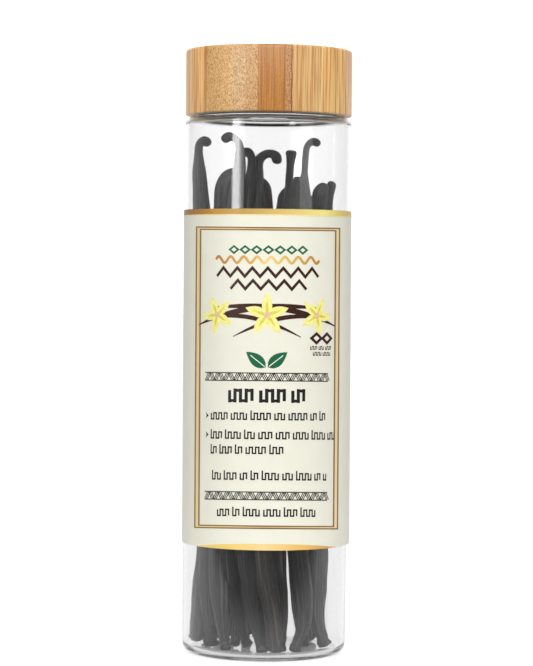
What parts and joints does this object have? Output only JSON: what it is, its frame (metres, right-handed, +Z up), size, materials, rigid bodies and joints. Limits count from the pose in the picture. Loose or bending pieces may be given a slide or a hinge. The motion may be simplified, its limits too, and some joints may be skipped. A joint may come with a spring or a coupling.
{
  "type": "tube of vanilla pods",
  "caption": "Shut clear plastic tube with a turned bamboo screw lid and a wrap-round paper label, holding whole dried vanilla pods that stand on end.",
  "frame": {"origin": "centre of the base, on the plane that the tube stands on", "axes": "+Z up along the tube, -Y towards the front of the label, +X to the right seen from the front"},
  "size_m": [0.0501, 0.0497, 0.1784],
  "materials": {
    "clear_plastic": "clear glossy moulded plastic",
    "bamboo": "sanded, unvarnished laminated bamboo",
    "lid_plastic": "moulded off-white plastic",
    "label_paper": "smooth cream paper with printed gold lines",
    "vanilla_pod": "dark, oily, wrinkled dried skin"
  },
  "bodies": {
    "root": {"tube": "clear_plastic", "lid": "bamboo", "lid_insert": "lid_plastic", "label": "label_paper", "vanilla_pods": "vanilla_pod"}
  },
  "joints": []
}
